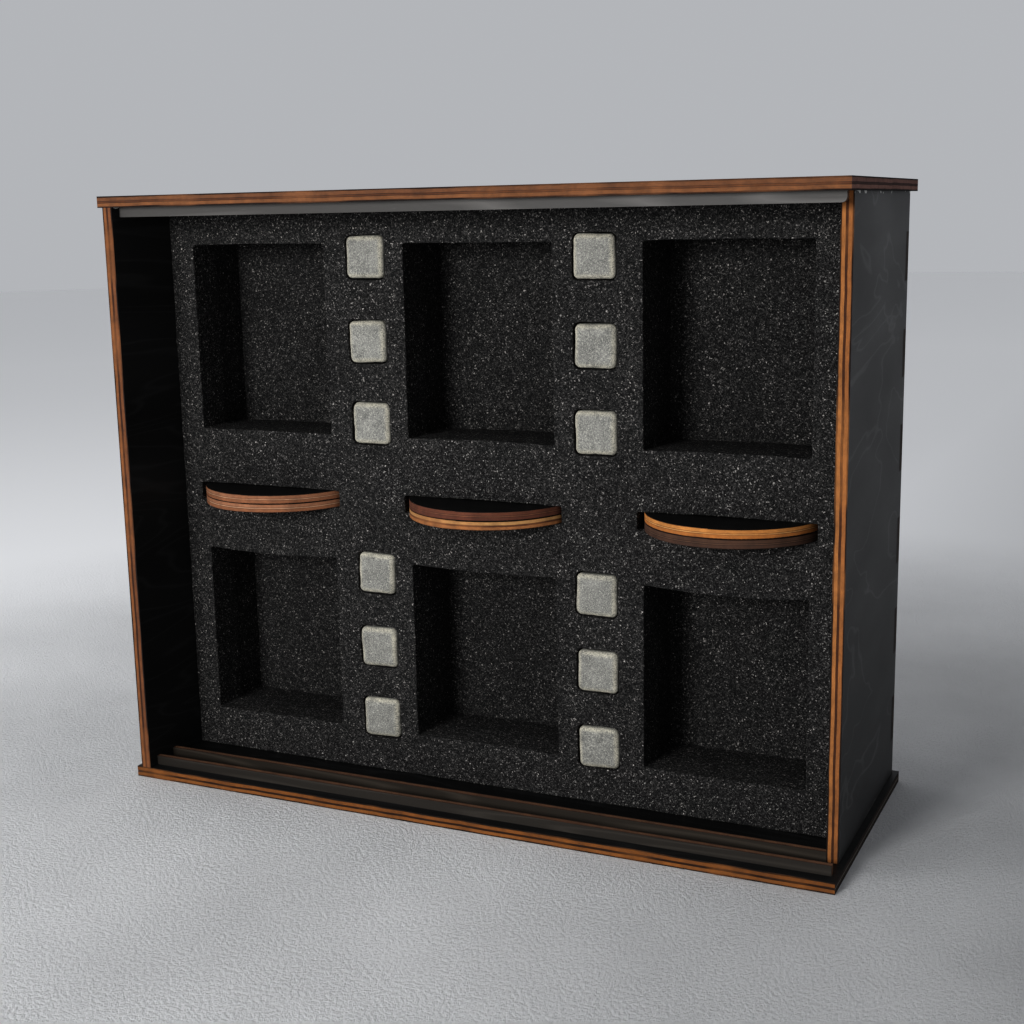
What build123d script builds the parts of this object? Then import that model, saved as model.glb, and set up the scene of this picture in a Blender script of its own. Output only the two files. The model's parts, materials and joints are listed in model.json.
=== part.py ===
"""A plywood drinks case standing on its long side, with its open front towards -Y.

Two boards and three panels form the box, short strips along the boards form the groove of
a sliding lid, and stacked foam sheets hold cubes of stone and pairs of round coasters
between pockets for glasses. +Z is up, X is the width and the origin is at the middle of
the bottom. All sizes are in millimetres.
"""

from build123d import *
import os

os.makedirs("parts", exist_ok=True)

# Box, whose depth follows from what it holds
case_width = 370.0
case_height = 300.0
board_ply = 5.5          # thickness of the boards and panels
side_overhang = 3.0      # boards past the outer face of each side panel
back_overhang = 2.4      # boards past the back of the box

# Finger joints between the back panel and the side panels
finger_count = 6
finger_end = 18.5        # plain stretch above the top finger and below the bottom one

# Rails that guide the lid
rail_ply = 3.2           # thickness of the strips, front to back
rail_height = 4.7        # how far the strips stand out from the boards
rail_setback = 6.0       # front rail behind the boards' front edge
lid_groove = 10.3        # free width between front and back rail
rail_corner_radius = 2.2  # lead-in at the open end of the top front rail

# Foam
foam_setback = 44.5      # foam face behind the boards' front edge
front_sheet = 20.0       # the sheet that holds the stones
middle_sheet = 20.0
slot_backing = 4.35      # foam behind the coasters in the third, deep sheet
back_sheet = 25.0        # the uncut sheet at the back
foam_side_rim = 15.0     # foam beside the outer pockets
foam_top_rim = 19.5      # foam above the upper pockets
foam_bottom_rim = 21.5   # foam below the lower pockets
stone_column = 44.5      # foam between two pockets, where the stones stand
upper_web = 28.5         # foam between a coaster slot and the pocket above it
lower_web = 25.7         # foam between a coaster slot and the pocket below it
slot_drop = 2.9          # middle of the coaster slots below the middle of the case
cut_shift = -0.9         # middle column of cuts from the middle of the box, along X
pocket_corner_radius = 2.5

# Stones
stone_size = 21.0
stone_radius = 2.6       # tumbled edges
stone_gap = 0.5          # free space around a stone in the foam
stone_rows = 3           # in each column beside the upper pockets, and beside the lower ones
stone_overreach = 3.75   # outermost stones past the ends of the pockets
stone_inset = 1.4        # stones nearer the middle column of pockets than the outer one

# Coasters
coaster_thickness = 4.4
coaster_margin = 3.0     # coaster past the glass pocket's width, on each side
coaster_showing = [25.0, 27.0, 25.0]  # how far each pair stands out of the foam, left to right
coaster_gap = 0.25       # free space around a coaster in its slot
coaster_spacing = 0.1    # free space between the two coasters of a pair
coaster_edge_radius = 0.3

# Planes across the box
outer_x = case_width / 2 - side_overhang
inner_x = outer_x - board_ply
inner_width = 2 * inner_x

# Heights
floor_z = board_ply
ceiling_z = case_height - board_ply
inner_height = ceiling_z - floor_z
middle_z = (floor_z + ceiling_z) / 2
slot_z = case_height / 2 - slot_drop
slot_height = 2 * coaster_thickness + coaster_spacing + 2 * coaster_gap

# Pockets for the glasses: three columns, one row above the slots and one below
pocket_width = (inner_width - 2 * foam_side_rim - 2 * stone_column) / 3
column_pitch = pocket_width + stone_column
pocket_columns = [cut_shift - column_pitch, cut_shift, cut_shift + column_pitch]
upper_pocket = (slot_z + slot_height / 2 + upper_web, ceiling_z - foam_top_rim)
lower_pocket = (floor_z + foam_bottom_rim, slot_z - slot_height / 2 - lower_web)
pocket_rows = [upper_pocket, lower_pocket]

# Coasters
coaster_diameter = pocket_width + 2 * coaster_margin
slot_width = coaster_diameter + 2 * coaster_gap
coaster_offset = (coaster_thickness + coaster_spacing) / 2

# The box is as deep as its lid groove, a coaster pushed home behind it, and the foam and
# the panel behind that
groove_depth = rail_setback + rail_ply + lid_groove
slot_depth = coaster_diameter + coaster_gap
case_depth = groove_depth + slot_depth + slot_backing + back_sheet + board_ply + back_overhang

# Planes of the box, from front (-Y) to back (+Y)
front_y = -case_depth / 2
front_rail_y = front_y + rail_setback
back_rail_y = front_y + groove_depth
foam_y = front_y + foam_setback
middle_sheet_y = foam_y + front_sheet
deep_sheet_y = middle_sheet_y + middle_sheet
slot_back_y = back_rail_y + slot_depth
back_sheet_y = slot_back_y + slot_backing
back_panel_y = back_sheet_y + back_sheet
back_y = back_panel_y + board_ply

# Stones stand about midway between the pockets
stone_offset = column_pitch / 2 - stone_inset
stone_columns = [cut_shift - stone_offset, cut_shift + stone_offset]
stone_hole = stone_size + 2 * stone_gap
stone_y = middle_sheet_y - stone_size / 2 - stone_gap / 2
stone_heights = []
for low, high in pocket_rows:
    top_stone_z = high + stone_overreach - stone_size / 2
    bottom_stone_z = low - stone_overreach + stone_size / 2
    stone_pitch = (top_stone_z - bottom_stone_z) / (stone_rows - 1)
    for row in range(stone_rows):
        stone_heights.append(top_stone_z - row * stone_pitch)


def plate(width, depth, thickness, bottom):
    """A level board centred on the origin, from its bottom face up."""
    with BuildPart() as board:
        with BuildSketch(Plane.XY.offset(bottom)):
            Rectangle(width, depth)
        extrude(amount=thickness)
    return board


def finger_heights():
    """Middle height of each finger, and the height of one finger."""
    finger = (inner_height - 2 * finger_end) / (2 * finger_count - 1)
    lowest = floor_z + finger_end + finger / 2
    return [lowest + 2 * finger * index for index in range(finger_count)], finger


def side_panel(outer_face, inner_face, panel_front_y):
    """An upright side panel with notches for the back panel's fingers."""
    middle_x = (outer_face + inner_face) / 2
    heights, finger = finger_heights()
    with BuildPart() as panel:
        with BuildSketch(Plane.XY.offset(floor_z)):
            with Locations((middle_x, (panel_front_y + back_y) / 2)):
                Rectangle(board_ply, back_y - panel_front_y)
        extrude(amount=inner_height)
        with BuildSketch(Plane.XZ.offset(-back_panel_y)):
            with Locations([(middle_x, height) for height in heights]):
                Rectangle(board_ply, finger)
        extrude(amount=-board_ply, mode=Mode.SUBTRACT)
    return panel


def rail(left_x, right_x, rail_front_y, bottom):
    """A strip of thin ply on edge, lying along a board."""
    with BuildPart() as strip:
        with BuildSketch(Plane.XY.offset(bottom)):
            with Locations(((left_x + right_x) / 2, rail_front_y + rail_ply / 2)):
                Rectangle(right_x - left_x, rail_ply)
        extrude(amount=rail_height)
    return strip


def foam_sheet(sheet_y, thickness, with_pockets, slot_reach, with_stones):
    """One sheet of foam as large as the box inside, cut through for what it holds."""
    sheet_front = Plane.XZ.offset(-sheet_y)
    slots = [(column, slot_z) for column in pocket_columns]
    stones = [(column, height) for column in stone_columns for height in stone_heights]
    with BuildPart() as sheet:
        with BuildSketch(sheet_front):
            with Locations((0, middle_z)):
                Rectangle(inner_width, inner_height)
        extrude(amount=-thickness)
        if with_pockets:
            with BuildSketch(sheet_front):
                for low, high in pocket_rows:
                    with Locations([(column, (low + high) / 2) for column in pocket_columns]):
                        RectangleRounded(pocket_width, high - low, pocket_corner_radius)
            extrude(amount=-thickness, mode=Mode.SUBTRACT)
        if slot_reach:
            with BuildSketch(sheet_front):
                with Locations(slots):
                    Rectangle(slot_width, slot_height)
            extrude(amount=-slot_reach, mode=Mode.SUBTRACT)
        if with_stones:
            with BuildSketch(sheet_front):
                with Locations(stones):
                    Rectangle(stone_hole, stone_hole)
            extrude(amount=-thickness, mode=Mode.SUBTRACT)
    return sheet


def stone(x, z):
    """A tumbled cube of stone in the front sheet."""
    with BuildPart() as cube:
        with Locations((x, stone_y, z)):
            Box(stone_size, stone_size, stone_size)
        fillet(cube.edges(), radius=stone_radius)
    return cube


def coaster(x, z, showing):
    """A round plywood coaster lying level in its slot."""
    middle_y = foam_y - showing + coaster_diameter / 2
    with BuildPart() as disc:
        with Locations((x, middle_y, z)):
            Cylinder(coaster_diameter / 2, coaster_thickness)
        fillet(disc.edges().filter_by(GeomType.CIRCLE), radius=coaster_edge_radius)
    return disc


def write(built, name):
    """Labels a finished piece and writes it."""
    built.part.label = name
    export_step(built.part, f"parts/{name}.step")


# Boards, wider and deeper than the box between them
write(plate(case_width, case_depth, board_ply, 0), "bottom_board")
write(plate(case_width, case_depth, board_ply, ceiling_z), "top_board")

# The left panel closes the lid groove, and the right one stops behind it to let the lid in
write(side_panel(-outer_x, -inner_x, front_y), "left_panel")
write(side_panel(outer_x, inner_x, back_rail_y), "right_panel")

# Back panel, with fingers that reach the outer faces of the side panels
with BuildPart() as back_panel:
    finger_middles, finger_height = finger_heights()
    with BuildSketch(Plane.XZ.offset(-back_panel_y)):
        with Locations((0, middle_z)):
            Rectangle(inner_width, inner_height)
        with Locations([(0, height) for height in finger_middles]):
            Rectangle(2 * outer_x, finger_height)
    extrude(amount=-board_ply)
write(back_panel, "back_panel")

# Front rails run to the outer face of the right panel, back rails stop inside it
bottom_rail_z = floor_z
top_rail_z = ceiling_z - rail_height
write(rail(-inner_x, outer_x, front_rail_y, bottom_rail_z), "bottom_front_rail")
write(rail(-inner_x, inner_x, back_rail_y, bottom_rail_z), "bottom_back_rail")
write(rail(-inner_x, inner_x, back_rail_y, top_rail_z), "top_back_rail")

with BuildPart() as top_front_rail:
    add(rail(-inner_x, outer_x, front_rail_y, top_rail_z).part)
    lead_in = top_front_rail.faces().sort_by(Axis.X)[-1].edges().sort_by(Axis.Z)[0]
    fillet(lead_in, radius=rail_corner_radius)
write(top_front_rail, "top_front_rail")

# Foam sheets from the face to the back panel
write(foam_sheet(foam_y, front_sheet, True, front_sheet, True), "foam_front_sheet")
write(foam_sheet(middle_sheet_y, middle_sheet, True, middle_sheet, False), "foam_middle_sheet")
deep_sheet = back_sheet_y - deep_sheet_y
slot_rest = slot_back_y - deep_sheet_y
write(foam_sheet(deep_sheet_y, deep_sheet, False, slot_rest, False), "foam_deep_sheet")
write(foam_sheet(back_sheet_y, back_sheet, False, 0, False), "foam_back_sheet")

# Stones, numbered down the left column and then down the right one
number = 0
for column in stone_columns:
    for height in stone_heights:
        number += 1
        write(stone(column, height), f"stone_{number:02d}")

# Coasters, an upper and a lower one in each slot
for side, column, showing in zip(["left", "centre", "right"], pocket_columns, coaster_showing):
    write(coaster(column, slot_z + coaster_offset, showing), f"coaster_{side}_upper")
    write(coaster(column, slot_z - coaster_offset, showing), f"coaster_{side}_lower")

print(f"pocket {pocket_width:.1f} wide, upper {upper_pocket[1] - upper_pocket[0]:.1f} high,"
      f" lower {lower_pocket[1] - lower_pocket[0]:.1f} high")
print(f"case depth {case_depth:.2f}, coaster diameter {coaster_diameter:.1f},"
      f" slots {slot_back_y - foam_y:.1f} deep in the foam")
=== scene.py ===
"""Looks of the foam-lined plywood drinks case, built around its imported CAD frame.

The plywood pieces are the CAD nodes with procedural stained-plywood materials. The foam
sheets and the stones are replaced by detailed meshes in the same places. Metres throughout.
"""

import json
import math
import random
from collections import namedtuple

import bmesh
import bpy
from mathutils import Euler, Matrix, Vector, noise
from mathutils.geometry import tessellate_polygon


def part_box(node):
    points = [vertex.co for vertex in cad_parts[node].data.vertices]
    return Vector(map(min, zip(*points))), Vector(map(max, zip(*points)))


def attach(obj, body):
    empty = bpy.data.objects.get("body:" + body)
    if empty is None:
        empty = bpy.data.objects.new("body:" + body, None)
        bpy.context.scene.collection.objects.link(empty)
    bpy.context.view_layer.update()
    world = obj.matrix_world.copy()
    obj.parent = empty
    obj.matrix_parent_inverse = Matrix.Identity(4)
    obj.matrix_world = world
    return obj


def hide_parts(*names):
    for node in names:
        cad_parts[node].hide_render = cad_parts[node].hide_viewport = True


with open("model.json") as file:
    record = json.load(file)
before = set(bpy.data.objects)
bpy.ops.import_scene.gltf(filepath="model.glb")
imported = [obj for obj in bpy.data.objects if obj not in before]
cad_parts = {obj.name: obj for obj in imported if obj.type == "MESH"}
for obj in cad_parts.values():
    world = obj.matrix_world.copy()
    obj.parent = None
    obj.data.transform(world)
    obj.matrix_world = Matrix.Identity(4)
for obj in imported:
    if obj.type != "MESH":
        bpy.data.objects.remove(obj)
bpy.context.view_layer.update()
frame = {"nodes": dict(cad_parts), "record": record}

MM = 0.001
AXES = {"x": 0, "y": 1, "z": 2}

# Foam
LIP_RADIUS = 0.55 * MM          # rounding of every cut edge
LIP_STEPS = 4
OUTLINE_STEP = 2.5 * MM         # distance between points along a cut
CORNER_STEPS = 6
CUT_WANDER = 0.22 * MM          # how far a cut strays from its line
WANDER_SCALE = 90               # how quickly it strays, in waves per metre
POCKET_MARGIN = 0.8 * MM        # the record's pocket boxes stand this far inside the walls
POCKET_CORNER = 1.2 * MM
MIDDLE_SHEET_SLIP = 0.5 * MM    # the second sheet's pockets are cut this much further out
SLOT_MARGIN = 0.25 * MM
SLOT_PINCH = 0.4 * MM           # each edge of a slot comes in this far towards the slot's ends
SLOT_CORNER = 0.6 * MM
STONE_HOLE_MARGIN = 0.35 * MM
SHEET_GAP = 0.05 * MM           # the sides of a sheet stop this far inside its CAD solid
FRONT_SHEET_LIT_LEVEL = 1.05              # brightness of the front sheet, the lit copy of the foam
INNER_SHEETS_PAINTED_SHADE = 0.86              # painted shade: the sheets behind it are darker, for the shade inside the pockets and slots

# Stones
STONE_DIVISIONS = 22
STONE_RADIUS = 3.2 * MM
STONE_SHIFT = 0.3               # millimetres off the middle of its hole, at most
STONE_PROUD = 0.5               # millimetres further out than its CAD solid, at most
STONE_SUNK = 0.1                # millimetres further in, at most
STONE_TURN = 1.2                # degrees, at most
STONE_CHANCE = 7                # seed of these draws
DENTS = ((110, 0.42), (500, 0.08))  # waves per metre, and height in millimetres
DENT_DEPTH = 0.22               # millimetres, taken off all over

# Wood
WOOD_SHINE = 0.12               # specular level of stained faces and charred edges
RING_WIDTH = 0.010              # of a growth ring's pale line, as a share of the noise
EDGE_BEVEL = 0.28 * MM
BACK_BEVEL = 0.45 * MM
RAIL_BEVEL = 0.8 * MM           # sanded edges of the rails
RIM_BEVEL = 0.1 * MM            # of the coasters
SHARP = math.radians(40)        # edges that turn more than this are bevelled

# How close the growth rings are, their width over their length, and how clear they are
Figure = namedtuple("Figure", "closeness, slimness, clarity")
BOARD_FIGURE = Figure(15.0, 0.12, 0.30)
PANEL_FIGURE = Figure(6.0, 0.40, 0.50)
RAIL_FIGURE = Figure(24.0, 0.05, 0.30)

# Floor
FLOOR_RADIUS = 6.0
FLOOR_SIDES = 96
FLOOR_RELIEF = 4.5 * MM
# the dark end of the floor's mottle and of its painted shade
FLOOR_DARK = (0.42, 0.423, 0.43, 1)
FLOOR_PALE = (0.88, 0.883, 0.89, 1)
FLOOR_FAR = (0.95, 0.95, 0.95, 1)

# Lights
KEY_LIGHT = {"place": (-0.20, -1.15, 0.43), "aim": (0.0, 0.0, 0.13), "size": 0.3, "power": 11.0}
TOP_LIGHT = {"place": (-0.5, -0.2, 1.6), "aim": (-0.1, -0.1, 0.0), "size": 0.8, "power": 8.0}
SURROUND = (0.86, 0.88, 0.92, 1)
SURROUND_STRENGTH = 0.47

# Camera
CAMERA_PLACE = Vector((0.3167, -0.6676, 0.2889))
CAMERA_AZIMUTH = math.radians(25.14)
CAMERA_ELEVATION = math.radians(11.31)
CAMERA_ROLL = math.radians(-1.149)
CAMERA_LENS = 52.85
CAMERA_NEAR = 0.02
SENSOR_WIDTH = 36.0


# --- node tools ------------------------------------------------------------------------

class Tree:
    """A short way to write a material's nodes."""

    def __init__(self, name):
        self.material = bpy.data.materials.new(name)
        self.material.use_nodes = True
        self.nodes = self.material.node_tree.nodes
        self.links = self.material.node_tree.links
        self.shader = self.nodes["Principled BSDF"]

    def add(self, kind, inputs=None, **settings):
        """A node with its settings, and its inputs set to values or linked to sockets."""
        made = self.nodes.new("ShaderNode" + kind)
        for key, value in settings.items():
            setattr(made, key, value)
        for key, value in (inputs or {}).items():
            self.feed(made.inputs[key], value)
        return made

    def feed(self, socket, value):
        """Links a socket to another one, or sets its value."""
        if isinstance(value, bpy.types.NodeSocket):
            self.links.new(value, socket)
        else:
            socket.default_value = value

    def shade(self, **inputs):
        """Sets the shader's own inputs, with spaces written as underscores."""
        for key, value in inputs.items():
            self.feed(self.shader.inputs[key.replace("_", " ")], value)

    def math(self, operation, *values, clamp=False):
        """The result of a math node."""
        made = self.add("Math", operation=operation, use_clamp=clamp)
        for index, value in enumerate(values):
            self.feed(made.inputs[index], value)
        return made.outputs[0]

    def mix(self, factor, first, second):
        """A colour between two others."""
        made = self.add("Mix", data_type="RGBA")
        self.feed(made.inputs[0], factor)
        self.feed(made.inputs[6], first)
        self.feed(made.inputs[7], second)
        return made.outputs[2]

    def ramp(self, factor, stops):
        """A colour ramp from (position, colour) pairs."""
        made = self.add("ValToRGB", {"Fac": factor})
        elements = made.color_ramp.elements
        while len(elements) < len(stops):
            elements.new(1.0)
        for element, (position, colour) in zip(elements, stops):
            element.position = position
            element.color = colour
        return made.outputs["Color"]

    def place(self):
        """Coordinates fixed to the object, in millimetres."""
        coordinates = self.add("TexCoord").outputs["Object"]
        return self.scaled(coordinates, (1000, 1000, 1000))

    def scaled(self, vector, factors, offset=(0, 0, 0)):
        """A vector stretched along each axis."""
        made = self.add("Mapping", {"Vector": vector, "Scale": factors, "Location": offset})
        return made.outputs["Vector"]

    def noise(self, vector, scale, detail=2.0, roughness=0.5, distortion=0.0):
        """Noise between 0 and 1."""
        made = self.add("TexNoise", {"Vector": vector, "Scale": scale, "Detail": detail,
                                     "Roughness": roughness, "Distortion": distortion})
        return made.outputs["Fac"]

    def range(self, value, low, high, new_low=0.0, new_high=1.0):
        """A value mapped from one range to another and clamped."""
        made = self.add("MapRange", {"Value": value, "From Min": low, "From Max": high,
                                     "To Min": new_low, "To Max": new_high})
        return made.outputs["Result"]

    def bump(self, height, distance, strength=1.0):
        """A normal bumped by a height, with the distance in metres."""
        made = self.add("Bump", {"Height": height, "Distance": distance, "Strength": strength})
        return made.outputs["Normal"]


def grey(value):
    """A neutral colour."""
    return (value, value, value, 1.0)


def stained(value, warmth):
    """A near-neutral colour, browner with warmth."""
    return (value * (1 + warmth), value, value * (1 - warmth), 1.0)


# --- plywood ---------------------------------------------------------------------------

CHAR = (0.008, 0.005, 0.004, 1)
SOOT = (0.024, 0.012, 0.008, 1)
EDGE_ROUGHNESS = 0.92
PLY_WAVE = 0.035                # share of the thickness
LOWER_PLY = 3                   # which of the stops of edge_stops lies in the lower ply
GLUE = (0.55, 0.55, 0.52, 1)
GLUE_REACH = 1.8                # millimetres below the edge
GAP_SHADOW_WIDTH = 2.2                 # millimetres, of the painted gap shadow and laser char in front of each finger


def edge_stops(upper, lower, middle, dark_line, soot=0.08):
    """The plies seen on a cut edge: two broad bands either side of a thin middle one.

    soot is the share of the thickness that is burnt black at each face.
    """
    return [(0.00, CHAR), (soot, dark_line), (soot + 0.07, lower), (0.37, lower), (0.42, dark_line),
            (0.47, middle), (0.52, middle), (0.56, dark_line), (0.62, upper), (0.93 - soot, upper),
            (1 - soot, dark_line), (1.00, CHAR)]


GOLDEN_EDGE = edge_stops((0.330, 0.128, 0.040, 1), (0.380, 0.155, 0.048, 1),
                         (0.080, 0.026, 0.011, 1), (0.014, 0.006, 0.004, 1))
BOARD_EDGE = edge_stops((0.205, 0.074, 0.018, 1), (0.240, 0.090, 0.023, 1),
                        (0.030, 0.010, 0.004, 1), (0.006, 0.003, 0.001, 1))
TOP_EDGE = edge_stops((0.160, 0.068, 0.032, 1), (0.205, 0.086, 0.036, 1),
                      (0.120, 0.045, 0.020, 1), (0.020, 0.008, 0.005, 1))
BROWN_EDGE = edge_stops((0.175, 0.068, 0.029, 1), (0.235, 0.092, 0.034, 1),
                        (0.062, 0.022, 0.011, 1), (0.014, 0.006, 0.004, 1))
DARK_EDGE = edge_stops((0.200, 0.105, 0.086, 1), (0.225, 0.118, 0.094, 1),
                       (0.070, 0.034, 0.028, 1), (0.012, 0.006, 0.005, 1))
SOOTY_EDGE = edge_stops((0.030, 0.020, 0.017, 1), (0.034, 0.022, 0.018, 1),
                        (0.200, 0.180, 0.155, 1), (0.006, 0.004, 0.004, 1))
RAIL_EDGE = edge_stops((0.130, 0.060, 0.030, 1), (0.105, 0.048, 0.026, 1),
                       (0.260, 0.150, 0.085, 1), (0.014, 0.008, 0.006, 1))

# Coasters, cut from lighter and darker sheets
TAN_RIM = edge_stops((0.330, 0.150, 0.080, 1), (0.270, 0.112, 0.054, 1),
                     (0.520, 0.300, 0.180, 1), (0.060, 0.022, 0.012, 1), soot=0.02)
HONEY_RIM = edge_stops((0.520, 0.280, 0.110, 1), (0.360, 0.150, 0.056, 1),
                       (0.160, 0.060, 0.026, 1), (0.030, 0.011, 0.006, 1), soot=0.02)
RED_RIM = edge_stops((0.150, 0.054, 0.030, 1), (0.125, 0.044, 0.026, 1),
                     (0.210, 0.085, 0.046, 1), (0.040, 0.015, 0.009, 1), soot=0.03)
ORANGE_RIM = edge_stops((0.560, 0.240, 0.066, 1), (0.440, 0.165, 0.042, 1),
                        (0.680, 0.340, 0.115, 1), (0.075, 0.026, 0.011, 1), soot=0.03)
UMBER_RIM = edge_stops((0.088, 0.045, 0.028, 1), (0.074, 0.038, 0.025, 1),
                       (0.120, 0.064, 0.040, 1), (0.018, 0.009, 0.007, 1), soot=0.03)


def wavy_depth(tree, place, through, low, high, seed):
    """How far through the thickness a point lies, from 0 to 1, with slightly wavy plies."""
    depth = tree.range(through, low / MM, high / MM)
    waves = tree.noise(tree.scaled(place, (1, 1, 1), (seed * 5, 0, 0)), 0.045, detail=3.0)
    return tree.math("ADD", depth, tree.range(waves, 0.3, 0.7, -PLY_WAVE, PLY_WAVE), clamp=True)


def ply_fibres(tree, place, across):
    """Noise drawn out along the plies."""
    fibre = [0.35, 0.35, 0.35]
    fibre[across] = 5.0
    return tree.noise(tree.scaled(place, fibre), 1.0, detail=3.0)


def scorched_plies(tree, place, depth, edge, ends, end_edge, fibres, seed):
    """The colour of the cut edges: plies, faded and scorched in patches, and their fibres."""
    plies = tree.ramp(depth, edge)
    lower_ply = edge[LOWER_PLY][1]
    patch = tree.noise(tree.scaled(place, (1, 1, 1), (0, seed * 9, 0)), 0.028, detail=3.0)
    plies = tree.mix(tree.range(patch, 0.50, 0.66, 0.0, 0.55), plies, lower_ply)
    if end_edge:
        plies = tree.mix(ends, plies, tree.ramp(depth, end_edge))
    burn = tree.noise(place, 0.11, detail=4.0, roughness=0.65)
    plies = tree.mix(tree.range(burn, 0.35, 0.72, 0.0, 0.62), plies, tree.mix(0.25, CHAR, plies))
    return tree.mix(tree.range(fibres, 0.35, 0.7, 0.0, 0.35), plies, grey(0.03))


def growth_rings(tree, grain_place, figure):
    """Thin lines, 1 on each growth ring and 0 between them."""
    rings = tree.noise(grain_place, 0.022, detail=3.0, distortion=0.35)
    lines = tree.math("PINGPONG", tree.math("MULTIPLY", rings, figure.closeness), 0.5)
    return tree.range(lines, 0.0, RING_WIDTH * figure.closeness, 1.0, 0.0)


def stained_face(tree, cloud, lines, pores, face, warmth, clarity):
    """The colour of the faces: black stain, cloudy, and thinner on the rings and the pores."""
    thick = stained(face * 0.75, warmth)
    thin = stained(face * 1.3, warmth)
    stain = tree.mix(tree.range(cloud, 0.3, 0.7), thick, thin)
    stain = tree.mix(tree.math("MULTIPLY", lines, clarity), stain, stained(face * 3.2, warmth))
    return tree.mix(tree.range(pores, 0.60, 0.78, 0.0, 0.5), stain, stained(face * 1.9, warmth))


def plywood(node, normal_axis, grain_axis, edge=GOLDEN_EDGE, face=0.013, seed=0.0, end_edge=None,
            figure=BOARD_FIGURE, warmth=0.0, jointed=False):
    """Black-stained plywood for one CAD node: stained faces, and plies on its cut edges.

    end_edge, where given, colours the cut edges that face along the grain. face is how
    bright the stain is, and warmth how brown. jointed adds the marks of a side panel's
    joints.
    """
    low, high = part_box(node)
    across, along = AXES[normal_axis], AXES[grain_axis]
    tree = Tree("ply_" + node)
    place = tree.place()
    separated = tree.add("SeparateXYZ", {"Vector": place})
    facing = tree.add("SeparateXYZ", {"Vector": tree.add("TexCoord").outputs["Normal"]})
    on_face = tree.math("GREATER_THAN", tree.math("ABSOLUTE", facing.outputs[across]), 0.6)
    on_edge = tree.math("SUBTRACT", 1.0, on_face)
    ends = tree.math("GREATER_THAN", tree.math("ABSOLUTE", facing.outputs[along]), 0.7)

    depth = wavy_depth(tree, place, separated.outputs[across], low[across], high[across], seed)
    fibres = ply_fibres(tree, place, across)
    plies = scorched_plies(tree, place, depth, edge, ends, end_edge, fibres, seed)

    stretch = [1.0, 1.0, 1.0]
    stretch[along] = figure.slimness
    grain_place = tree.scaled(place, stretch, (seed * 37.0, seed * 11.0, seed * 23.0))
    lines = growth_rings(tree, grain_place, figure)
    pores = tree.noise(tree.scaled(grain_place, (4, 4, 4)), 0.5, detail=3.0, roughness=0.7)
    cloud = tree.noise(grain_place, 0.03, detail=4.0)
    stain = stained_face(tree, cloud, lines, pores, face, warmth, figure.clarity)
    if jointed:
        stain = joint_marks(tree, place, separated, high.z, stain)

    face_relief = tree.math("SUBTRACT", pores, tree.math("MULTIPLY", lines, 0.5))
    relief = tree.math("ADD", tree.math("MULTIPLY", face_relief, on_face),
                       tree.math("MULTIPLY", fibres, on_edge))
    rough = tree.math("MAXIMUM", tree.range(cloud, 0.3, 0.7, 0.42, 0.54),
                      tree.math("MULTIPLY", on_edge, EDGE_ROUGHNESS))
    tree.shade(Base_Color=tree.mix(on_face, plies, stain), Roughness=rough,
               Normal=tree.bump(relief, 0.05 * MM, 0.6), Specular_IOR_Level=WOOD_SHINE)
    return tree.material


def finger_heights(back):
    """The lower and upper heights of the back panel's fingers, in millimetres, in order."""
    corners = [back.matrix_world @ vert.co for vert in back.data.vertices]
    widest = max(corner.x for corner in corners)
    tips = [corner for corner in corners if widest - corner.x < 0.1 * MM]
    return sorted({round(corner.z / MM, 2) for corner in tips})


def joint_marks(tree, place, separated, top, stain):
    """Painted gap shadow and laser char in front of the back panel's fingers, and beads of dried glue
    at the top.
    """
    heights = finger_heights(frame["nodes"]["back_panel"])
    up = separated.outputs[AXES["z"]]
    beside = None
    for low, high in zip(heights[0::2], heights[1::2]):
        above = tree.math("GREATER_THAN", up, low)
        within = tree.math("MULTIPLY", above, tree.math("LESS_THAN", up, high))
        beside = within if beside is None else tree.math("ADD", beside, within)
    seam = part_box("back_panel")[0].y / MM
    behind = tree.math("GREATER_THAN", separated.outputs[AXES["y"]], seam - GAP_SHADOW_WIDTH)
    # painted gap shadow, with laser char: a black strip in front of each finger
    stain = tree.mix(tree.math("MULTIPLY", beside, behind), stain, CHAR)
    near_edge = tree.range(up, top / MM - GLUE_REACH, top / MM)
    bead = tree.math("MULTIPLY", near_edge, tree.range(tree.noise(place, 0.14), 0.54, 0.62))
    return tree.mix(tree.math("GREATER_THAN", bead, 0.35), stain, GLUE)


def charred():
    """The soot that the laser leaves along every cut edge."""
    tree = Tree("charred_edge")
    soot = tree.noise(tree.place(), 0.9, detail=3.0)
    tree.shade(Base_Color=tree.ramp(soot, [(0.3, CHAR), (0.75, SOOT)]),
               Roughness=tree.range(soot, 0.3, 0.7, 0.8, 0.95), Specular_IOR_Level=WOOD_SHINE)
    return tree.material


def dress(node, material, char, bevel=EDGE_BEVEL, charred_bevel=True):
    """Gives a CAD node its material, and slightly softened edges, charred or sanded."""
    piece = frame["nodes"][node]
    piece.data.materials.clear()
    piece.data.materials.append(material)
    piece.data.materials.append(char)
    softened = piece.modifiers.new("softened_edges", "BEVEL")
    softened.width = bevel
    softened.segments = 2
    softened.material = 1 if charred_bevel else 0
    softened.limit_method = "ANGLE"
    softened.angle_limit = SHARP
    softened.harden_normals = True


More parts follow.
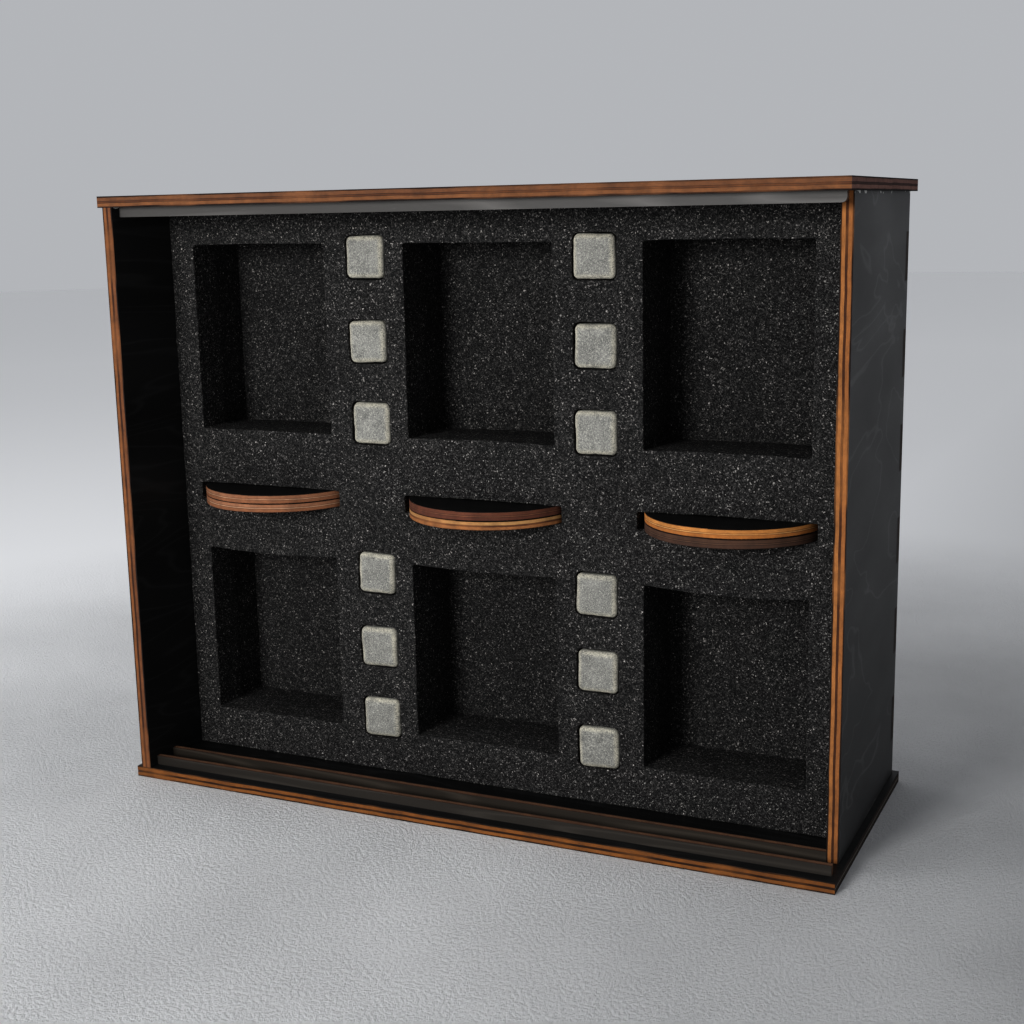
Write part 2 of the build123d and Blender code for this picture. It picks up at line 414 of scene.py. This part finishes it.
def dress_panels(char):
    """Materials of the boards and panels."""
    top = plywood("top_board", "z", "x", edge=TOP_EDGE, seed=1, end_edge=DARK_EDGE)
    bottom = plywood("bottom_board", "z", "x", edge=BOARD_EDGE, face=0.006, seed=2, end_edge=SOOTY_EDGE)
    left = plywood("left_panel", "x", "y", edge=BROWN_EDGE, face=0.012, seed=3, jointed=True)
    right = plywood("right_panel", "x", "y", face=0.026, seed=4, figure=PANEL_FIGURE, jointed=True)
    back = plywood("back_panel", "y", "x", edge=SOOTY_EDGE, seed=5)
    dress("top_board", top, char)
    dress("bottom_board", bottom, char)
    dress("left_panel", left, char)
    dress("right_panel", right, char)
    dress("back_panel", back, char, BACK_BEVEL)


def dress_rails(char):
    """Materials of the four rails, each with its brightness and its warmth."""
    # painted sheen: the top rails' faces are brighter than the bottom rails', for the light glancing
    # off the same black stain
    rails = {"top_front_rail": (0.056, 0.05), "top_back_rail": (0.045, 0.05),
             "bottom_front_rail": (0.017, 0.15), "bottom_back_rail": (0.020, 0.20)}
    for index, (node, (face, warmth)) in enumerate(rails.items()):
        strip = plywood(node, "y", "x", edge=RAIL_EDGE, face=face, seed=6 + index, warmth=warmth,
                        figure=RAIL_FIGURE)
        dress(node, strip, char, RAIL_BEVEL, charred_bevel=False)


def dress_coasters(char):
    """Materials of the six coasters."""
    rims = {"left_upper": TAN_RIM, "left_lower": TAN_RIM, "centre_upper": RED_RIM,
            "centre_lower": HONEY_RIM, "right_upper": ORANGE_RIM, "right_lower": UMBER_RIM}
    for index, (which, rim) in enumerate(rims.items()):
        node = "coaster_" + which
        dress(node, plywood(node, "z", "x", edge=rim, face=0.004, seed=20 + index), char, RIM_BEVEL)


def dress_plywood():
    """Materials of every piece of plywood."""
    char = charred()
    dress_panels(char)
    dress_rails(char)
    dress_coasters(char)


# --- foam ------------------------------------------------------------------------------

# the cells' own tones; the brightest, rarest stops are painted glints
FOAM_CELL_TONES_AND_GLINTS = [(0.00, stained(0.006, 0.0)), (0.35, stained(0.010, 0.0)), (0.60, stained(0.024, 0.02)),
              (0.80, stained(0.046, 0.03)), (0.93, stained(0.083, 0.04)),
              (0.98, stained(0.19, 0.05)), (1.00, stained(0.44, 0.06))]
CELLS_PER_MM = 2.1
CELL_DEPTH = 0.35 * MM

# How far the lower and upper edge of each pocket bow, in millimetres
POCKET_BOWS = {"upper_left": (0.3, 0.4), "upper_centre": (0.9, -0.3), "upper_right": (0.6, 0.3),
               "lower_left": (0.2, -1.5), "lower_centre": (0.4, -1.2), "lower_right": (-0.2, -1.9)}


def foam_material(name, shade):
    """Charcoal closed-cell foam: fine cells, and cut cells here and there painted bright as glints."""
    tree = Tree(name)
    place = tree.place()
    twist = tree.add("TexNoise", {"Vector": place, "Scale": 0.9, "Detail": 1.0}).outputs["Color"]
    twist = tree.add("VectorMath", {0: twist, 1: (0.5, 0.5, 0.5)}, operation="SUBTRACT").outputs[0]
    twist = tree.add("VectorMath", {0: twist, "Scale": 1.6}, operation="SCALE").outputs[0]
    bent = tree.add("VectorMath", {0: place, 1: twist}, operation="ADD").outputs[0]
    cells = tree.add("TexVoronoi", {"Vector": bent, "Scale": CELLS_PER_MM, "Randomness": 1.0})
    chance = tree.add("SeparateColor", {"Color": cells.outputs["Color"]})
    glint = tree.ramp(chance.outputs["Red"], FOAM_CELL_TONES_AND_GLINTS)
    drift = tree.noise(place, 0.035, detail=3.0)
    colour = tree.mix(tree.range(drift, 0.3, 0.7, 0.75 * shade, shade), grey(0.0), glint)
    # painted shade: darker towards the cell walls, where the bump dips between the cells
    near_wall = tree.range(cells.outputs["Distance"], 0.30, 0.62)
    colour = tree.mix(tree.math("MULTIPLY", near_wall, 0.45), colour, grey(0.012))
    height = tree.math("MULTIPLY", chance.outputs["Green"], tree.math("SUBTRACT", 1.0, near_wall))
    tree.shade(Base_Color=colour, Roughness=1.0, Normal=tree.bump(height, CELL_DEPTH, 0.8),
               Specular_IOR_Level=0.1)
    return tree.material


def rounded_rectangle(box, radius):
    """Points round a rectangle (x0, z0, x1, z1), counterclockwise, with rounded corners."""
    x0, z0, x1, z1 = box
    corners = [(x1 - radius, z0 + radius, -90), (x1 - radius, z1 - radius, 0),
               (x0 + radius, z1 - radius, 90), (x0 + radius, z0 + radius, 180)]
    points = []
    for index, (cx, cz, start) in enumerate(corners):
        for step in range(CORNER_STEPS + 1):
            angle = math.radians(start + 90 * step / CORNER_STEPS)
            points.append(Vector((cx + radius * math.cos(angle), cz + radius * math.sin(angle))))
        next_x, next_z, next_start = corners[(index + 1) % 4]
        ahead = math.radians(next_start)
        goal = Vector((next_x + radius * math.cos(ahead), next_z + radius * math.sin(ahead)))
        last = points[-1].copy()
        count = int((goal - last).length / OUTLINE_STEP)
        for step in range(1, count):
            points.append(last.lerp(goal, step / count))
    return points


def cut_outline(box, radius, bow_low=0.0, bow_high=0.0, turn=0.0, seed=0):
    """The outline of a cut in foam: a rounded rectangle that strays a little from its line.

    Its lower and upper edges bow by the given heights in their middle.
    """
    x0, z0, x1, z1 = box
    middle = Vector(((x0 + x1) / 2, (z0 + z1) / 2))
    half_width = (x1 - x0) / 2
    shaped = []
    for point in rounded_rectangle(box, radius):
        share = 1 - ((point.x - middle.x) / half_width) ** 2
        upward = (point.y - z0) / (z1 - z0)
        point.y += share * (bow_low * (1 - upward) + bow_high * upward)
        stray = noise.noise_vector(Vector((point.x, point.y, seed)) * WANDER_SCALE)
        point = point + Vector((stray.x, stray.y)) * CUT_WANDER
        shaped.append(middle + Matrix.Rotation(turn, 2) @ (point - middle))
    return shaped


def inward(loop, hole):
    """For each point of a counterclockwise loop, the direction into the foam."""
    directions = []
    for index, point in enumerate(loop):
        before = loop[index - 1]
        after = loop[(index + 1) % len(loop)]
        tangent = (after - before).normalized()
        left = Vector((-tangent.y, tangent.x))
        directions.append(-left if hole else left)
    return directions


def lip_levels(front, back):
    """For each ring of points from front to back, how far it is set into the foam, and its y."""
    levels = []
    for step in range(LIP_STEPS + 1):
        angle = math.radians(90 * step / LIP_STEPS)
        levels.append((LIP_RADIUS * (1 - math.sin(angle)), front + LIP_RADIUS * (1 - math.cos(angle))))
    return levels + [(inset, front + back - y) for inset, y in reversed(levels)]


def wall_faces(mesh, rings):
    """Joins each ring of points to the next with four-sided faces."""
    for first, second in zip(rings, rings[1:]):
        for near, far in zip(first, second):
            for index in range(len(near)):
                following = (index + 1) % len(near)
                mesh.faces.new((near[index], near[following], far[following], far[index]))


def flat_face(mesh, ring):
    """Fills the front or the back of a sheet, round its holes."""
    flat = [[Vector((vert.co.x, vert.co.z, 0)) for vert in loop] for loop in ring]
    verts = [vert for loop in ring for vert in loop]
    for triangle in tessellate_polygon(flat):
        mesh.faces.new([verts[index] for index in triangle])


def foam_sheet(name, outer, holes, front, back, material):
    """A closed sheet of foam between two planes, with a rounded lip on every cut."""
    loops = [(outer, inward(outer, False))] + [(hole, inward(hole, True)) for hole in holes]
    mesh = bmesh.new()
    rings = []
    for inset, y in lip_levels(front, back):
        ring = []
        for loop, into in loops:
            moved = [point + direction * inset for point, direction in zip(loop, into)]
            ring.append([mesh.verts.new((point.x, y, point.y)) for point in moved])
        rings.append(ring)
    wall_faces(mesh, rings)
    flat_face(mesh, rings[0])
    flat_face(mesh, rings[-1])
    bmesh.ops.recalc_face_normals(mesh, faces=mesh.faces)
    piece = to_object(mesh, name, material)
    weighted = piece.modifiers.new("flat_faces", "WEIGHTED_NORMAL")
    weighted.weight = 100
    return piece


def to_object(mesh, name, material):
    """A smooth-shaded object from a bmesh."""
    data = bpy.data.meshes.new(name)
    mesh.to_mesh(data)
    mesh.free()
    data.materials.append(material)
    data.shade_smooth()
    piece = bpy.data.objects.new(name, data)
    bpy.context.scene.collection.objects.link(piece)
    return piece


def sheet_outline(node):
    """The outside of a foam sheet, and the planes of its front and back."""
    low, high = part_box(node)
    box = (low.x + SHEET_GAP, low.z + SHEET_GAP, high.x - SHEET_GAP, high.z - SHEET_GAP)
    return cut_outline(box, LIP_RADIUS * 2), low.y, high.y


def opening_box(name):
    """The low and high corners of one of the record's openings."""
    for opening in frame["record"]["physics"]["openings"]:
        if opening["name"] == name:
            return opening["box_m"]
    raise KeyError(name)


def pocket_holes(grown, seed):
    """The outlines of the six pockets for glasses, from the record's openings."""
    margin = POCKET_MARGIN + grown
    holes = []
    for index, (name, (bow_low, bow_high)) in enumerate(POCKET_BOWS.items()):
        low, high = opening_box(name + "_pocket")
        box = (low[0] - margin, low[2] - margin, high[0] + margin, high[2] + margin)
        holes.append(cut_outline(box, POCKET_CORNER, bow_low * MM, bow_high * MM, seed=seed + index))
    return holes


def slot_holes(pinch, seed):
    """The outlines of the three coaster slots, from the coasters that they hold."""
    lift = SLOT_MARGIN - pinch
    holes = []
    for index, side in enumerate(("left", "centre", "right")):
        low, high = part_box(f"coaster_{side}_lower")
        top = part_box(f"coaster_{side}_upper")[1].z
        box = (low.x - SLOT_MARGIN, low.z - lift, high.x + SLOT_MARGIN, top + lift)
        holes.append(cut_outline(box, SLOT_CORNER, -pinch, pinch, seed=seed + index))
    return holes


def stone_holes(stones, seed):
    """The outlines of the twelve stones' holes, from each stone's outline and turn."""
    return [cut_outline(box, STONE_RADIUS, turn=turn, seed=seed + index)
            for index, (box, turn) in enumerate(stones)]


def build_foam(stones):
    """The four foam sheets. The deep one holds the backs of the coasters without a pinch."""
    cuts = {"foam_front_sheet": (pocket_holes(0.0, seed=10) + slot_holes(SLOT_PINCH, seed=20)
                                 + stone_holes(stones, seed=40)),
            "foam_middle_sheet": (pocket_holes(MIDDLE_SHEET_SLIP, seed=60)
                                  + slot_holes(SLOT_PINCH, seed=70)),
            "foam_deep_sheet": slot_holes(0.0, seed=80),
            "foam_back_sheet": []}
    for node, holes in cuts.items():
        outer, front, back = sheet_outline(node)
        name = node.replace("sheet", "layer")
        # painted shade: the sheets behind the front one are darker, for the shade inside the pockets
        # and slots
        material = foam_material(name, FRONT_SHEET_LIT_LEVEL if node == "foam_front_sheet" else INNER_SHEETS_PAINTED_SHADE)
        piece = foam_sheet(name, outer, holes, front, back, material)
        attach(piece, "case")
        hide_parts(node)


# --- stones ----------------------------------------------------------------------------

STONE_DARK = (0.135, 0.134, 0.124, 1)
STONE_PALE = (0.225, 0.223, 0.205, 1)
STONE_FLECK = (0.50, 0.49, 0.43, 1)
STONE_WORN = (0.58, 0.54, 0.42, 1)


def stone_material():
    """Grey soapstone: mottled and flecked faces, and paler worn edges."""
    tree = Tree("soapstone")
    place = tree.place()
    mottle = tree.noise(place, 0.20, detail=5.0, roughness=0.7)
    speckle = tree.noise(place, 1.5, detail=5.0, roughness=0.9)
    worn = tree.add("Attribute", attribute_name="worn").outputs["Fac"]
    ragged = tree.math("MULTIPLY", worn, tree.range(speckle, 0.40, 0.60, 0.0, 1.0))
    ragged = tree.math("MULTIPLY", ragged, tree.range(mottle, 0.35, 0.60, 0.45, 1.0))
    colour = tree.mix(tree.range(mottle, 0.34, 0.66), STONE_DARK, STONE_PALE)
    colour = tree.mix(tree.range(speckle, 0.53, 0.63, 0.0, 0.95), colour, STONE_FLECK)
    colour = tree.mix(tree.range(speckle, 0.47, 0.37, 0.0, 0.9), colour, grey(0.045))
    colour = tree.mix(ragged, colour, STONE_WORN)
    tree.shade(Base_Color=colour, Roughness=0.82, Normal=tree.bump(speckle, 0.2 * MM, 0.8),
               Specular_IOR_Level=0.3)
    return tree.material


def tumbled_stone(name, box, turns, seed, material):
    """A cube of stone with tumbled edges, turned a little in its hole."""
    low, high = box
    half = (high - low) / 2
    middle = (low + high) / 2
    mesh = bmesh.new()
    bmesh.ops.create_cube(mesh, size=2.0)
    bmesh.ops.subdivide_edges(mesh, edges=mesh.edges, cuts=STONE_DIVISIONS, use_grid_fill=True)
    worn_layer = mesh.verts.layers.float.new("worn")
    core = half - Vector((STONE_RADIUS, STONE_RADIUS, STONE_RADIUS))
    turning = Euler(turns).to_matrix()
    for vert in mesh.verts:
        flat = Vector([vert.co[axis] * half[axis] for axis in range(3)])
        inner = Vector([max(-core[axis], min(core[axis], flat[axis])) for axis in range(3)])
        outward = (flat - inner).normalized()
        rounded = inner + outward * STONE_RADIUS
        reach = sorted(abs(flat[axis]) - core[axis] for axis in range(3))[1]
        vert[worn_layer] = max(0.0, min(1.0, reach / STONE_RADIUS * 1.6 - 0.1))
        where = rounded + Vector((seed, seed * 3, 0))
        dent = sum(noise.noise(where * scale) * height for scale, height in DENTS) - DENT_DEPTH
        vert.co = middle + turning @ (rounded + outward * dent * MM)
    return to_object(mesh, name, material)


def build_stones():
    """Twelve stones. Returns the outline and the turn of each one's hole in the foam."""
    material = stone_material()
    chance = random.Random(STONE_CHANCE)
    outlines = []
    for number in range(1, 13):
        node = f"stone_{number:02d}"
        low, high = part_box(node)
        shift = Vector((chance.uniform(-STONE_SHIFT, STONE_SHIFT),
                        chance.uniform(-STONE_PROUD, STONE_SUNK),
                        chance.uniform(-STONE_SHIFT, STONE_SHIFT))) * MM
        turns = [math.radians(chance.uniform(-STONE_TURN, STONE_TURN)) for _ in range(3)]
        low, high = low + shift, high + shift
        piece = tumbled_stone("tumbled_" + node, (low, high), turns, number, material)
        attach(piece, node)
        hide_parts(node)
        margin = STONE_HOLE_MARGIN
        outlines.append(((low.x - margin, low.z - margin, high.x + margin, high.z + margin), -turns[1]))
    return outlines


# --- stage -----------------------------------------------------------------------------

def build_floor():
    """A pale floor, painted darker to the right as shade away from the key light, whose fine relief
    fades out with distance.
    """
    tree = Tree("floor")
    place = tree.place()
    distance = tree.add("VectorMath", {0: place}, operation="LENGTH").outputs["Value"]
    near = tree.range(distance, 300.0, 700.0, 1.0, 0.0)
    grain = tree.noise(place, 0.5, detail=6.0, roughness=0.72)
    cloud = tree.noise(place, 0.006, detail=5.0)
    across = tree.add("SeparateXYZ", {"Vector": place}).outputs["X"]
    level = tree.math("MULTIPLY", tree.range(cloud, 0.3, 0.7, -0.2, 0.2), near)
    # painted shade: the floor darkens to the right, away from the key light
    level = tree.math("ADD", level, tree.range(across, 40.0, 320.0, 0.85, 0.15))
    colour = tree.mix(level, FLOOR_DARK, FLOOR_PALE)
    colour = tree.mix(tree.range(distance, 600.0, 2500.0), colour, FLOOR_FAR)
    height = tree.math("MULTIPLY", grain, near)
    tree.shade(Base_Color=colour, Roughness=0.65, Normal=tree.bump(height, FLOOR_RELIEF))
    mesh = bmesh.new()
    bmesh.ops.create_circle(mesh, cap_ends=True, segments=FLOOR_SIDES, radius=FLOOR_RADIUS)
    floor = to_object(mesh, "floor", tree.material)


def area_light(name, place, aim, size, power):
    """A soft square light that faces a point and stays out of the picture."""
    data = bpy.data.lights.new(name, "AREA")
    data.shape = "SQUARE"
    data.size = size
    data.energy = power
    light = bpy.data.objects.new(name, data)
    light.location = place
    light.rotation_euler = (Vector(aim) - Vector(place)).to_track_quat("-Z", "Y").to_euler()
    light.visible_camera = False
    bpy.context.scene.collection.objects.link(light)


def build_lights():
    """A soft key in front, a broader light from above, and a pale surround."""
    area_light("key", **KEY_LIGHT)
    area_light("top", **TOP_LIGHT)
    world = bpy.data.worlds.new("surround")
    world.use_nodes = True
    background = world.node_tree.nodes["Background"]
    background.inputs["Color"].default_value = SURROUND
    background.inputs["Strength"].default_value = SURROUND_STRENGTH
    bpy.context.scene.world = world


def build_camera():
    """A camera with the reference view."""
    data = bpy.data.cameras.new("camera")
    data.lens = CAMERA_LENS
    data.sensor_width = SENSOR_WIDTH
    data.clip_start = CAMERA_NEAR
    camera = bpy.data.objects.new("camera", data)
    turn = Matrix.Rotation(CAMERA_AZIMUTH, 4, "Z")
    tip = Matrix.Rotation(math.radians(90) - CAMERA_ELEVATION, 4, "X")
    roll = Matrix.Rotation(CAMERA_ROLL, 4, "Z")
    camera.matrix_world = Matrix.Translation(CAMERA_PLACE) @ turn @ tip @ roll
    bpy.context.scene.collection.objects.link(camera)
    bpy.context.scene.camera = camera


bpy.context.scene.view_settings.view_transform = "Standard"
bpy.context.scene.view_settings.look = "Medium High Contrast"
build_camera()
build_lights()
build_floor()
dress_plywood()
build_foam(build_stones())

bpy.context.view_layer.update()
